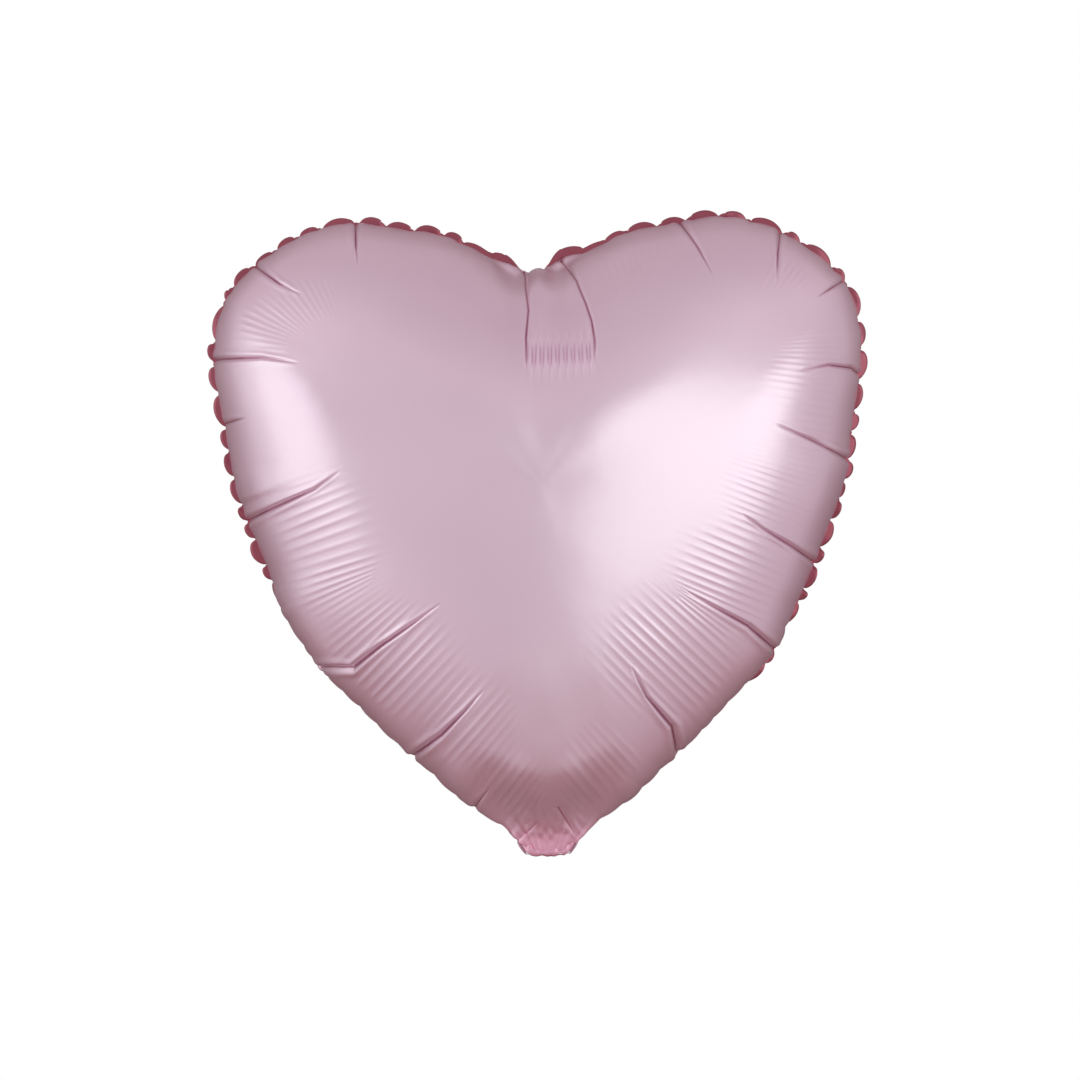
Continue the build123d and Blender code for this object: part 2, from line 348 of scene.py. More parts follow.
def inflate():
    base = coarse_shape()
    t = np.arange(RINGS + 1) / RINGS
    rho = 1 - (1 - t) ** 1.5  # closer together towards the seam
    grid = resample(base, np.linspace(0, 1, 25), rho, COLUMNS)
    # the film spans the notch's valley in a flat pleat, not a knife edge
    turn = np.degrees(np.arange(COLUMNS) * 2 * np.pi / COLUMNS)
    turn = np.minimum(turn, 360 - turn)
    for reach, inner, outer, at_rim, ease in ((13, 10, 26, 0.985, 0.10), (26, 14, 44, 0.86, 0.22)):
        reach = int(COLUMNS * reach / 360)
        kernel = np.hanning(2 * reach + 3)[1:-1]
        kernel /= kernel.sum()
        for i in range(1, len(rho)):
            share = (1 - smooth((turn - inner) / (outer - inner))) * smooth((at_rim - rho[i]) / ease)
            ring = grid[i]
            wide = np.r_[ring[-reach:], ring, ring[:reach]]
            blurred = np.stack([np.convolve(c, kernel, "valid") for c in wide.T], 1)
            grid[i] = ring + (blurred - ring) * share[:, None]
    n = normals(grid)
    s, u, arc, total = seam_field(grid, grid[-1])
    rim_angle = np.arctan2(grid[-1, :, 0], grid[-1, :, 2]) % (2 * np.pi)
    # the puckers' places along the seam
    place = np.array([arc[np.abs(((rim_angle - p + np.pi) % (2 * np.pi)) - np.pi).argmin()] for p in puckers])
    place = np.sort(place)
    wrapped = np.r_[place[-1] - total, place, place[0] + total]
    phase = np.interp(s % total, wrapped, np.arange(len(wrapped)))
    local = np.random.default_rng(5)
    weight = local.uniform(0.55, 1.0, len(place) + 2)
    weight[-1] = weight[1]
    # distance from the seam along the film
    step = np.linalg.norm(grid[1:] - grid[:-1], axis=-1)
    w = np.zeros(grid.shape[:2])
    w[:-1] = np.cumsum(step[::-1], axis=0)[::-1]
    foot = np.interp(s % total, arc, np.arange(len(arc)))
    foot_deg = np.degrees(rim_angle[np.clip(foot.astype(int), 0, len(arc) - 1)])
    lower = lower_edge(foot_deg)
    gap = np.interp(s % total, 0.5 * (wrapped[1:] + wrapped[:-1]), np.diff(wrapped))
    two = []
    for side in (0, 1):
        p = grid.copy()
        m = n.copy()
        reach = np.interp(phase, np.arange(len(weight)), local.uniform(5, 15, len(weight)))
        swell = np.abs(np.sin(np.pi * phase)) ** 0.8
        notch = np.exp(-((grid[-1, :, 0] / 27) ** 4)) * (grid[-1, :, 2] > 0)
        tip = np.exp(-((grid[-1, :, 0] / 14) ** 2)) * (grid[-1, :, 2] < 0)
        calm = 1 - np.clip(notch + tip, 0, 1)[None]
        high = 0.19 * np.clip(gap, 6, 18) * np.interp(phase, np.arange(len(weight)), weight) * (1 - 0.45 * lower)
        reach = np.where(lower > 0.5, reach, 0.45 * reach)
        p += m * (high * (swell - 0.8) * np.exp(-w / (reach * (1 + 0.5 * lower))) * calm)[..., None]
        # the film swells out over the seam, which the puckers draw in
        p += m * ((1.7 + 0.9 * (1 - lower)) * (1 - np.exp(-w / 1.8)) * np.exp(-w / 16) * calm)[..., None]
        p += m * (3.9 * lower * np.exp(-((w / 55) ** 2)) * calm)[..., None]
        p[-1] -= m[-1] * (0.9 * (1 - lower[-1]) * calm[-1])[..., None]
        # a second, longer buckle of the film behind each group of puckers
        slow = closed_interp(s, np.sort(local.uniform(0, total, 34)), local.uniform(-1, 1, 34), total)
        p += m * (1.1 * slow * np.exp(-((u - 12) / 13) ** 2))[..., None] * calm[..., None]
        two.append(p)
    two = np.stack(two)
    two[1, ..., 1] *= -1
    two[:, -1] = two[:, -1].mean(0, keepdims=True)
    if not np.isfinite(two).all():
        raise RuntimeError("the film did not settle")
    return two, rho, place, total


def random_folds(count, seed):
    """The rear panel's own folds, which share the seam with the front's."""
    local = np.random.default_rng(seed)
    made = []
    for line, depth, hold in FOLDS:
        (x0, z0), (x1, z1) = line[0], line[-1]
        turn = local.uniform(-0.25, 0.25)
        scale = local.uniform(0.7, 1.15)
        dx, dz = (x1 - x0) * scale, (z1 - z0) * scale
        curve = []
        for t in np.linspace(0, 1, 7):
            a = turn * t
            curve.append((x0 + t * (dx * math.cos(a) - dz * math.sin(a)), z0 + t * (dx * math.sin(a) + dz * math.cos(a))))
        made.append((curve, depth * local.uniform(0.7, 1.05), hold))
    return made


REAR_FOLDS = random_folds(20, 77)
REAR_PATCHES = [(-0.93 * cx, cz + 4, hx, hz, 0.9 * tall, pitch * 1.05) for cx, cz, hx, hz, tall, pitch in RIPPLE_PATCHES]

film, rho, pucker_places, seam_length = inflate()
print("film settled", film.shape, np.ptp(film[..., 0]), np.ptp(film[..., 1]), np.ptp(film[..., 2]))
film[..., 0] -= 0.5 * (film[:, -1, :, 0].max() + film[:, -1, :, 0].min())
film[..., 1] -= film[:, -1, :, 1].mean()
film *= FILM_SCALE * np.array([1.0, 1.0, 0.995])
film[..., 2] += 1.3 - film[:, -1, :, 2].min()
film[..., 0] *= 1 + 0.013 * smooth((film[..., 2] - 120) / 90)
# in the notch the film's edge rises gently to both sides
bins = np.arange(-46, 46.1, 2.0)
across = film[..., 0]
crest = np.array([film[..., 2][np.abs(across - x) < 1.6].max() for x in bins])
for _ in range(3):
    crest[1:-1] = 0.25 * crest[:-2] + 0.5 * crest[1:-1] + 0.25 * crest[2:]
off = np.sqrt((across + 3.4) ** 2 + 4) - 2
wanted = 325.0 + 0.34 * off
shift = (wanted - np.interp(across, bins, crest)) * (1 - smooth((off - 15) / 15))
film[..., 2] += shift * smooth((film[..., 2] - 268) / 46)
# at the tip its outline is rounded over the neck
bins = np.arange(-30, 30.1, 1.5)
across = film[..., 0]
foot = np.array([film[..., 2][np.abs(across - x) < 1.6].min() for x in bins])
for _ in range(3):
    foot[1:-1] = 0.25 * foot[:-2] + 0.5 * foot[1:-1] + 0.25 * foot[2:]
wanted = 1.0 + 8.4 * (across / 18.6) ** 2
shift = (wanted - np.interp(across, bins, foot)) * (1 - smooth((np.abs(across) - 17) / 10))
film[..., 2] += shift * (1 - smooth((film[..., 2] - 6) / 24))
# near the neck the film is drawn in to a flat funnel
reach = np.sqrt(film[..., 0] ** 2 + 16) - 4
funnel = (1 - smooth((film[..., 2] - 0.45 * reach - 3) / 50)) ** 1.35 * (1 - smooth((reach - 16) / 30))
film[..., 1] *= 1 - 0.74 * funnel


# ------------------------------------------------------------------ meshes
def make_object(name, verts, faces, smooth_shade=True):
    mesh = bpy.data.meshes.new(name)
    mesh.from_pydata([tuple(v) for v in verts], [], faces)
    mesh.validate()
    mesh.update()
    if smooth_shade:
        mesh.polygons.foreach_set("use_smooth", [True] * len(mesh.polygons))
    obj = bpy.data.objects.new(name, mesh)
    bpy.context.scene.collection.objects.link(obj)
    return obj


def panel_mesh(name, grid):
    """Rings of columns, halved in number towards the middle so that no face is a sliver."""
    rings, columns = grid.shape[:2]
    verts, index, counts = [], [], []
    for i in range(rings):
        ring = grid[i]
        count = columns
        span = np.linalg.norm(np.roll(ring, -1, 0) - ring, axis=1).mean()
        while i < rings - 1 and span * (columns / count) < (0.72) and count % 2 == 0 and count > 36:
            count //= 2
        counts.append(count)
    for i in range(rings - 2, -1, -1):  # never more columns than the ring outside
        counts[i] = min(counts[i], counts[i + 1])
        if counts[i] < counts[i + 1] // 2:
            counts[i] = counts[i + 1] // 2
    for i in range(1, rings):
        step = columns // counts[i]
        index.append(len(verts))
        verts += list(grid[i, ::step])
    centre_vert = len(verts)
    verts.append(grid[0, 0])
    faces = []
    for i in range(1, rings - 1):
        a, na = index[i - 1], counts[i]
        b, nb = index[i], counts[i + 1]
        if na == nb:
            for j in range(na):
                k = (j + 1) % na
                faces.append((a + j, a + k, b + k, b + j))
        else:
            for j in range(na):
                k = (j + 1) % na
                b0, b1, b2 = b + 2 * j, b + 2 * j + 1, b + (2 * j + 2) % nb
                faces += [(a + j, b1, b0), (a + j, a + k, b1), (a + k, b2, b1)]
    for j in range(counts[1]):
        faces.append((centre_vert, index[0] + (j + 1) % counts[1], index[0] + j))
    obj = make_object(name, np.array(verts) * 0.001, faces)
    bm = bmesh.new()
    bm.from_mesh(obj.data)
    bmesh.ops.recalc_face_normals(bm, faces=bm.faces)
    front = sum(f.normal.y for f in bm.faces if f.calc_area() > 0)
    want = -1 if name.startswith("front") else 1
    if front * want < 0:
        bmesh.ops.reverse_faces(bm, faces=bm.faces)
    bm.to_mesh(obj.data)
    bm.free()
    return obj


fine = [film[0], film[1]]
edge = 0.5 * (fine[0][-1] + fine[1][-1])
fine[0][-1] = edge
fine[1][-1] = edge
front_film = panel_mesh("front_film", fine[0])
rear_film = panel_mesh("rear_film", fine[1])


def fold_distance(x, z, folds):
    nearest = np.full(x.shape, 1e9)
    for line, depth, hold in folds:
        nearest = np.minimum(nearest, along_fold(x, z, line)[0])
    return nearest


def even_rim():
    """The seam with its scallops smoothed away, so that distances along it grow steadily."""
    reach = int(len(edge) * 0.030)
    kernel = np.hanning(2 * reach + 3)[1:-1]
    kernel /= kernel.sum()
    wide = np.r_[edge[-reach:], edge, edge[:reach]]
    return np.stack([np.convolve(c, kernel, "valid") for c in wide.T], 1)


def press_folds(obj, side):
    """Cuts the mesh finer along each deep crease, then presses in the folds, ripples and neck pleats, and stores the
    painted shade of their creases.
    """
    folds = FOLDS if side == 0 else REAR_FOLDS
    bm = bmesh.new()
    bm.from_mesh(obj.data)
    patches = RIPPLE_PATCHES if side == 0 else REAR_PATCHES
    for step, near in enumerate(((4.2, 2.4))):
        co = np.array([v.co for v in bm.verts]) * 1000
        x, z = co[:, 0], co[:, 2]
        close = fold_distance(x, z, folds) < near
        if step == 0:
            for cx, cz, hx, hz, tall, pitch in patches:
                close |= ((x - cx) / hx) ** 2 + ((z - cz) / hz) ** 2 < 1.15
        if side == 0:
            close |= (np.abs(x - 12) < 23) & (np.abs(z - 275) < 14)
            close |= (np.abs(x) < 24) & (z < 34)
        bm.verts.index_update()
        edges = [e for e in bm.edges if close[e.verts[0].index] and close[e.verts[1].index]]
        bmesh.ops.subdivide_edges(bm, edges=edges, cuts=1, use_grid_fill=True)
    bmesh.ops.triangulate(bm, faces=[f for f in bm.faces if len(f.verts) > 4])
    bm.normal_update()
    co = np.array([v.co for v in bm.verts]) * 1000
    n = np.array([v.normal for v in bm.verts])
    rim = np.array([v.is_boundary for v in bm.verts])
    x, z = co[:, 0], co[:, 2]
    s, u, arc, total = seam_field(co[None], even_rim())
    s, u = s[0], u[0]
    local = np.random.default_rng(6 + side)
    move = np.zeros(len(co))
    # painted shade: how dark each point is painted along the folds' valleys and between the neck's pleats
    cut = np.zeros(len(co))
    for line, depth, hold in folds:
        away, at = along_fold(x, z, line)
        width = 0.66 * (1 - at) ** 1.4 + 0.44
        fade = np.clip((1 - at) * hold, 0, 1) ** 0.8
        valley = np.exp(-((away / width) ** 1.15)) * fade
        ridge = np.exp(-(((away - 3.0 * width) / (2.0 * width)) ** 2)) * fade
        move += depth * (0.10 * ridge - 0.34 * valley)
        # painted shade: a thin dark line painted along the fold's valley
        cut = np.maximum(cut, np.exp(-((away / (0.27 + 0.24 * (1 - at))) ** 2)) * fade)
    wobble = closed_interp(s, np.linspace(0, total, 90, endpoint=False), local.uniform(-0.9, 0.9, 90), total)
    # no two ripples are quite alike
    pick = closed_interp(s, np.linspace(0, total, 300, endpoint=False), local.uniform(0.55, 1.2, 300), total)
    for cx, cz, hx, hz, tall, pitch in patches:
        inside = np.exp(-((((x - cx) / hx) ** 2 + ((z - cz) / hz) ** 2) ** 1.6))
        wave = np.cos(2 * np.pi * (s + wobble) / pitch) + 0.22 * np.cos(4 * np.pi * (s + wobble) / pitch)
        move += tall * pick * inside * wave * smooth((u - 5) / 9)
    if side == 0:
        # upright ripples across the pleat, where the notch's two folds end
        inside = smooth((x + 9) / 6) * smooth((34 - x) / 6) * np.exp(-(((z - 275) / 10) ** 2))
        move += 0.78 * inside * np.cos(2 * np.pi * (x + 0.003 * (z - 273) * (x - 13)) / 4.2)
        # two soft ridges meet above the neck
        for line in ([(0, 61), (-34, 92)], [(0, 61), (42, 93)], [(0, 61), (1, 16)]):
            away, at = along_fold(x, z, line)
            ends = np.hypot(x - line[0][0], z - line[0][1])
            move += 0.55 * np.exp(-((away / 7) ** 2)) * (1 - smooth(at)) * smooth((60 - ends) / 30)
    # pleats that fan out of the gathered neck
    fan = x / (0.42 + np.clip(z, 0, 60) / 34)
    inside = (1 - smooth((z - 10) / 26)) * np.exp(-((x / 24) ** 4))
    pleat = 0.55 * np.sin(fan * 0.52 + 0.6) + 0.5 * (1 - 2 * np.abs(np.sin(fan * 0.31 + 0.9)) ** 0.7) + 0.25 * np.sin(fan * 1.3)
    crumple = np.abs(((x * 0.11 + z * 0.13 + 0.3 * np.sin(x * 0.4)) % 1) - 0.5) + np.abs(((z * 0.10 - x * 0.15) % 1) - 0.5) - 0.5
    move += inside * (0.6 * pleat + 0.9 * crumple * smooth((z - 5) / 9))
    # painted shade in the valleys of the neck's pleats as well
    cut = np.maximum(cut, 0.35 * inside * np.clip(-pleat, 0, 1))
    move[rim] = 0
    co += n * move[:, None]
    for v, c in zip(bm.verts, co * 0.001):
        v.co = c
    bm.to_mesh(obj.data)
    bm.free()
    obj.data.polygons.foreach_set("use_smooth", [True] * len(obj.data.polygons))
    # painted shade: how dark each point is painted inside the folds and pleats, for the film's material
    crease_shade_attr = obj.data.attributes.new("painted_crease_shade", "FLOAT", "POINT")
    crease_shade_attr.data.foreach_set("value", cut.astype(np.float32))


# ------------------------------------------------------------------ flange
def flange_rings():
    tangent = np.roll(edge, -3, 0) - np.roll(edge, 3, 0)
    tangent /= np.linalg.norm(tangent, axis=1, keepdims=True)
    y = np.array([0, 1.0, 0])
    out = np.cross(tangent, y)
    out /= np.linalg.norm(out, axis=1, keepdims=True)
    if ((edge - np.array([0, 0, MIDDLE_Z])) * out).sum() < 0:
        out = -out
    kernel = np.hanning(13)[:, None]
    kernel = kernel / kernel.sum()
    out = np.stack([np.convolve(np.r_[c[-6:], c, c[:6]], kernel[:, 0], "valid") for c in out.T], 1)
    out /= np.linalg.norm(out, axis=1, keepdims=True)
    phase = pucker_phase(np.arctan2(edge[:, 0], edge[:, 2] - MIDDLE_Z))
    local = np.random.default_rng(8)
    tilt = local.uniform(-0.55, 0.35, len(puckers) + 3)
    wide = local.uniform(0.82, 1.12, len(puckers) + 3)
    lower = lower_edge(np.degrees(np.arctan2(edge[:, 0], edge[:, 2] - MIDDLE_Z)) % 360)
    k = np.floor(phase).astype(int)
    lobe = np.abs(np.sin(np.pi * phase)) ** 0.7
    # beside the notch it lies in two long flat strips
    x, z = edge[:, 0], edge[:, 2]
    flat = smooth((52 - np.abs(x - 5)) / 14) * smooth((np.abs(x - 2) - 3) / 6) * (z > 200)
    lobe = lobe + (0.8 - lobe) * flat
    # the welded edge stands back from the front and curls between puckers
    swing = 0.30 + tilt[k] * lobe * (1 - flat) * (1 - 0.75 * lower) + 0.86 * lower
    size = FLANGE * (1 - 0.5 * lower) * (1 - 0.9 * np.exp(-((x / 22) ** 4)) * (z < 60)) * (1 - (1 - smooth((np.abs(x + 2) - 5) / 14)) * (z > 200))
    for cx, cz in ((-158, 172), (119, 106)):  # two places where it stands out
        lift = np.exp(-(((x - cx) / 10) ** 2) - ((z - cz) / 12) ** 2)
        swing = swing * (1 - 0.85 * lift)
        size = size * (1 + 0.25 * lift)
    rings = [edge]
    for share in (0.25, 0.5, 0.75, 1.0):
        bent = swing * (0.75 + 0.35 * share)
        step = size * share * (0.58 + 0.66 * lobe * wide[k])
        ripple = 0.30 * share * np.sin(phase * 2 * np.pi * 1.5 + tilt[k] * 9) * lobe
        ring = edge + out * (step * np.cos(bent))[:, None] + y * (step * np.sin(bent) + ripple)[:, None]
        rings.append(ring)
    return np.stack(rings)


rings = flange_rings()
count, columns = rings.shape[:2]
# two plies, welded: a thin closed strip
thick = 0.12
verts = np.concatenate([(rings + np.array([0, -thick, 0])).reshape(-1, 3), (rings + np.array([0, thick, 0])).reshape(-1, 3)])
faces = []
half = count * columns
for i in range(count - 1):
    for j in range(columns):
        k = (j + 1) % columns
        a, b, c, d = i * columns + j, i * columns + k, (i + 1) * columns + k, (i + 1) * columns + j
        faces.append((a, b, c, d))
        faces.append((half + d, half + c, half + b, half + a))
for i in (0, count - 1):
    for j in range(columns):
        k = (j + 1) % columns
        a, b = i * columns + j, i * columns + k
        faces.append((b, a, half + a, half + b) if i == 0 else (a, b, half + b, half + a))
press_folds(front_film, 0)
press_folds(rear_film, 1)
flange = make_object("welded_flange", verts * 0.001, faces)
bm = bmesh.new()
bm.from_mesh(flange.data)
bmesh.ops.recalc_face_normals(bm, faces=bm.faces)
bm.to_mesh(flange.data)
bm.free()


# ------------------------------------------------------------------ neck and tail
REST = math.radians(24)
ALONG = np.array([0, math.cos(REST), math.sin(REST)])
OUT = np.array([0, math.sin(REST), -math.cos(REST)])


def neck():
    """The two panels' film gathered flat at the tip, folded back over the tie line."""
    path, side = [], []
    for z in np.linspace(13, 3.2, 14):  # stays below the valve's flap
        path.append((0, 0, z))
        side.append((0, -1.0, 0))
    for k in range(1, 13):
        # round the fold from straight down to the tail's direction
        a = (math.pi / 2 + REST) * k / 12
        path.append((0, 2.0 - 2.0 * math.cos(a), 3.2 - 2.0 * math.sin(a)))
        side.append((0, -math.cos(a), -math.sin(a)))
    last = np.array(path[-1])
    for d in np.linspace(0.8, 6.5, 8):
        path.append(tuple(last + ALONG * d))
        side.append(tuple(OUT))
    path, side = np.array(path), np.array(side)
    run = np.r_[0, np.cumsum(np.linalg.norm(np.diff(path, axis=0), axis=1))]
    t = run / run[-1]
    half = np.interp(run, [0, 3, 6, 9, 12, 15, run[-1]], [14.5, 15.0, 14.6, 12.8, 9.6, 9.6, 12.5])
    thick = np.interp(run, [0, 3, 6, 10, 14, run[-1]], [2.2, 2.2, 1.9, 1.3, 0.7, 0.42])
    verts, m = [], 120
    local = np.random.default_rng(3)
    phases = local.uniform(0, 6.28, 5)
    for i in range(len(path)):
        for j in range(m):
            a = 2 * math.pi * j / m
            c, q = math.cos(a), math.sin(a)
            x = half[i] * math.copysign(abs(c) ** 0.8, c)
            # upright pleats that deepen towards the fold
            deep = (0.25 + 0.75 * math.sin(math.pi * min(1, t[i] * 1.25)))
            pleat = 0.55 * math.sin(x * 0.62 + phases[0]) + 0.38 * math.sin(x * 1.27 + phases[1] + 2.0 * t[i]) + 0.22 * abs(math.sin(x * 0.9 + phases[2]))
            pleat *= deep * (1 if q > 0 else 0.8) * min(1, thick[i] / 1.4)
            y = thick[i] * math.copysign(abs(q) ** 0.75, q)
            y += (pleat if q > 0 else -pleat) * min(1, abs(q) * 2.2)
            verts.append(path[i] + np.array([x, 0, 0]) + side[i] * y)
    faces = []
    for i in range(len(path) - 1):
        for j in range(m):
            k = (j + 1) % m
            faces.append((i * m + j, i * m + k, (i + 1) * m + k, (i + 1) * m + j))
    obj = make_object("neck_film", np.array(verts) * 0.001, faces)
    bm = bmesh.new()
    bm.from_mesh(obj.data)
    bmesh.ops.holes_fill(bm, edges=[e for e in bm.edges if e.is_boundary], sides=0)
    bmesh.ops.recalc_face_normals(bm, faces=bm.faces)
    bm.to_mesh(obj.data)
    bm.free()
    return obj


def leaf(name, end, sign, hole):
    """One leaf of the tail: a thin strip of film, bowed a little, with welded sides."""
    local = np.random.default_rng(11 if sign > 0 else 12)
    p1, p2, p3 = local.uniform(0, 6.28, 3)
    na, nx = 92, 46
    start = 4.4
    verts, faces = [], []
    for i in range(na + 1):
        d = start + (end - start) * i / na
        half = 17.0 - 4.6 * (1 - min(1, (d - start) / 15.0)) ** 1.4
        # rounded corners at the open end
        left = end - d
        if left < 5:
            half -= 5 - math.sqrt(max(0, 25 - (5 - left) ** 2))
        for j in range(nx + 1):
            x = half * (2 * j / nx - 1)
            grow = min(1, (d - start) / 14)
            bow = 0.50 + grow * (0.55 * (1 - (x / 17) ** 2) + 0.22 * math.sin(d * 0.21 + p1) * math.cos(x * 0.16 + p2) + 0.22 * (d / end) ** 3)
            bow += 0.07 * grow * math.sin(d * 0.9 + x * 0.35 + p3)
            if abs(x) > half - 2.6:
                bow -= 0.10 * grow  # the side welds are pressed flat
            verts.append(np.array([x, 0, 0]) + ALONG * d + OUT * (sign * max(bow, 0.47)))
    gone = set()
    if hole:
        flat = [np.array([v[0], (v @ ALONG) - 50.0]) for v in verts]
        for k, q in enumerate(flat):
            r = math.hypot(*q)
            if r < 5.55:
                gone.add(k)
        row = nx + 1
        near = set()
        for k in gone:
            for step in (1, -1, row, -row, row + 1, row - 1, -row + 1, -row - 1):
                if k + step not in gone:
                    near.add(k + step)
        for k in near:
            q = flat[k]
            r = math.hypot(*q)
            verts[k] = verts[k] + (np.array([q[0], 0, 0]) + ALONG * q[1]) * (6.0 / r - 1)
    for i in range(na):
        for j in range(nx):
            a = i * (nx + 1) + j
            f = (a, a + 1, a + nx + 2, a + nx + 1)
            if not gone.intersection(f):
                faces.append(f if sign < 0 else f[::-1])
    obj = make_object(name, np.array(verts) * 0.001, faces)
    bm = bmesh.new()
    bm.from_mesh(obj.data)
    bmesh.ops.delete(bm, geom=[v for v in bm.verts if not v.link_faces], context="VERTS")
    bm.to_mesh(obj.data)
    bm.free()
    solid = obj.modifiers.new("film", "SOLIDIFY")
    solid.thickness = 0.00015
    solid.offset = 0
    return obj


neck_film = neck()
tail_front = leaf("tail_front_film", 68.0, 1, True)
tail_rear = leaf("tail_rear_film", 72.0, -1, False)


# ------------------------------------------------------------------ materials
def nodes_of(name):
    mat = bpy.data.materials.new(name)
    mat.use_nodes = True
    tree = mat.node_tree
    return mat, tree, tree.nodes["Principled BSDF"]


def film_material(name, light, deep, rough, metal=0.9, grain=0.02, folded=None, tip=None):
    """Metallised film: satin print on metal, with fine stretch marks and soft mottling, and optionally painted shade in
    its folds and painted light towards its tip.
    """
    mat, tree, bsdf = nodes_of(name)
    new, link = tree.nodes.new, tree.links.new
    place = new("ShaderNodeTexCoord")
    broad = new("ShaderNodeTexNoise")
    broad.inputs["Scale"].default_value = 9
    broad.inputs["Detail"].default_value = 3
    link(place.outputs["Object"], broad.inputs["Vector"])
    ramp = new("ShaderNodeValToRGB")
    ramp.color_ramp.elements[0].position = 0.32
    ramp.color_ramp.elements[0].color = (*deep, 1)
    ramp.color_ramp.elements[1].position = 0.72
    ramp.color_ramp.elements[1].color = (*light, 1)
    link(broad.outputs["Fac"], ramp.inputs["Fac"])
    colour = ramp.outputs["Color"]

    def blend_to(colour, factor, target):
        mix = new("ShaderNodeMix")
        mix.data_type = "RGBA"
        link(factor, mix.inputs["Factor"])
        link(colour, mix.inputs[6])
        mix.inputs[7].default_value = (*target, 1)
        return mix.outputs[2]

    # painted shade: the film is painted darker inside folds and pleats, by the attribute that press_folds stores
    if folded:
        crease_shade_attr = new("ShaderNodeAttribute")
        crease_shade_attr.attribute_name = "painted_crease_shade"
        colour = blend_to(colour, crease_shade_attr.outputs["Fac"], folded)
    if tip:
        # painted light: towards the tip the film is painted a deeper pink, standing in for light where its reflection
        # of the darker surround below turns it brown
        parts = new("ShaderNodeSeparateXYZ")
        link(place.outputs["Object"], parts.inputs[0])
        near = new("ShaderNodeMapRange")
        near.inputs["From Min"].default_value = 0.026
        near.inputs["From Max"].default_value = 0.004
        near.interpolation_type = "SMOOTHSTEP"
        link(parts.outputs["Z"], near.inputs["Value"])
        colour = blend_to(colour, near.outputs["Result"], tip)
    link(colour, bsdf.inputs["Base Color"])
    fine_noise = new("ShaderNodeTexNoise")
    fine_noise.inputs["Scale"].default_value = 260
    fine_noise.inputs["Detail"].default_value = 4
    link(place.outputs["Object"], fine_noise.inputs["Vector"])
    span = new("ShaderNodeMapRange")
    span.inputs["To Min"].default_value = rough - 0.035
    span.inputs["To Max"].default_value = rough + 0.035
    link(fine_noise.outputs["Fac"], span.inputs["Value"])
    link(span.outputs["Result"], bsdf.inputs["Roughness"])
    slack = new("ShaderNodeTexNoise")
    slack.inputs["Scale"].default_value = 38
    slack.inputs["Detail"].default_value = 2
    link(place.outputs["Object"], slack.inputs["Vector"])
    bump = new("ShaderNodeBump")
    bump.inputs["Strength"].default_value = grain
    bump.inputs["Distance"].default_value = 0.004
    link(slack.outputs["Fac"], bump.inputs["Height"])
    link(bump.outputs["Normal"], bsdf.inputs["Normal"])
    bsdf.inputs["Metallic"].default_value = metal
    bsdf.inputs["Coat Weight"].default_value = 0.12
    bsdf.inputs["Coat Roughness"].default_value = 0.3
    return mat


# the folded colour is painted shade in the film's creases
# the tip colour is painted light on the film towards the tip
satin = film_material("satin_film", (0.85, 0.685, 0.775), (0.81, 0.64, 0.735), 0.30, 0.94, 0.06, folded=(0.44, 0.18, 0.25), tip=(0.96, 0.56, 0.71))
glossy = film_material("seam_film", (0.40, 0.115, 0.155), (0.29, 0.065, 0.09), 0.26, 0.85, 0.25)
tail_pink = film_material("tail_film", (0.93, 0.72, 0.81), (0.84, 0.58, 0.69), 0.22, 0.88, 0.2)
neck_pink = film_material("neck_film", (0.88, 0.52, 0.65), (0.74, 0.38, 0.50), 0.22, 0.9, 0.2)


def clear_material():
    mat, tree, bsdf = nodes_of("valve_film")
    new, link = tree.nodes.new, tree.links.new
    place = new("ShaderNodeTexCoord")
    noise = new("ShaderNodeTexNoise")
    noise.inputs["Scale"].default_value = 120
    link(place.outputs["Object"], noise.inputs["Vector"])
    ramp = new("ShaderNodeValToRGB")
    ramp.color_ramp.elements[0].color = (0.80, 0.82, 0.84, 1)
    ramp.color_ramp.elements[1].color = (0.93, 0.94, 0.95, 1)
    link(noise.outputs["Fac"], ramp.inputs["Fac"])
    link(ramp.outputs["Color"], bsdf.inputs["Base Color"])
    bump = new("ShaderNodeBump")
    bump.inputs["Strength"].default_value = 0.2
    bump.inputs["Distance"].default_value = 0.0005
    link(noise.outputs["Fac"], bump.inputs["Height"])
    link(bump.outputs["Normal"], bsdf.inputs["Normal"])
    bsdf.inputs["Roughness"].default_value = 0.28
    bsdf.inputs["Transmission Weight"].default_value = 0.35
    return mat


def print_material():
    mat, tree, bsdf = nodes_of("release_print")
    new, link = tree.nodes.new, tree.links.new
    place = new("ShaderNodeTexCoord")
    speck = new("ShaderNodeTexVoronoi")
    speck.inputs["Scale"].default_value = 900
    link(place.outputs["Object"], speck.inputs["Vector"])
    ramp = new("ShaderNodeValToRGB")
    ramp.color_ramp.elements[0].color = (0.55, 0.60, 0.66, 1)
    ramp.color_ramp.elements[1].color = (0.74, 0.77, 0.81, 1)
    link(speck.outputs["Distance"], ramp.inputs["Fac"])
    link(ramp.outputs["Color"], bsdf.inputs["Base Color"])
    bsdf.inputs["Roughness"].default_value = 0.7
    return mat


clear = clear_material()
printed = print_material()


def dress(obj, mat):
    obj.data.materials.clear()
    obj.data.materials.append(mat)


for obj in (front_film, rear_film):
    dress(obj, satin)
    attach(obj, "envelope")
dress(flange, glossy)
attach(flange, "envelope")
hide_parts("front_panel")
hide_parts("rear_panel")
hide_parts("seam_band")
for node in ("valve_front_film", "valve_rear_film", "valve_rear_film_neck", "valve_inlet_sleeve"):
    dress(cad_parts[node], clear)
dress(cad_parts["valve_release_print"], printed)
dress(tail_front, tail_pink)
dress(tail_rear, tail_pink)
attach(tail_front, "tail_mouth")
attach(tail_rear, "tail")
for obj, node in ((tail_front, "tail_front_leaf"), (tail_rear, "tail_rear_leaf")):
    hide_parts(node)
dress(neck_film, neck_pink)
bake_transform(neck_film)


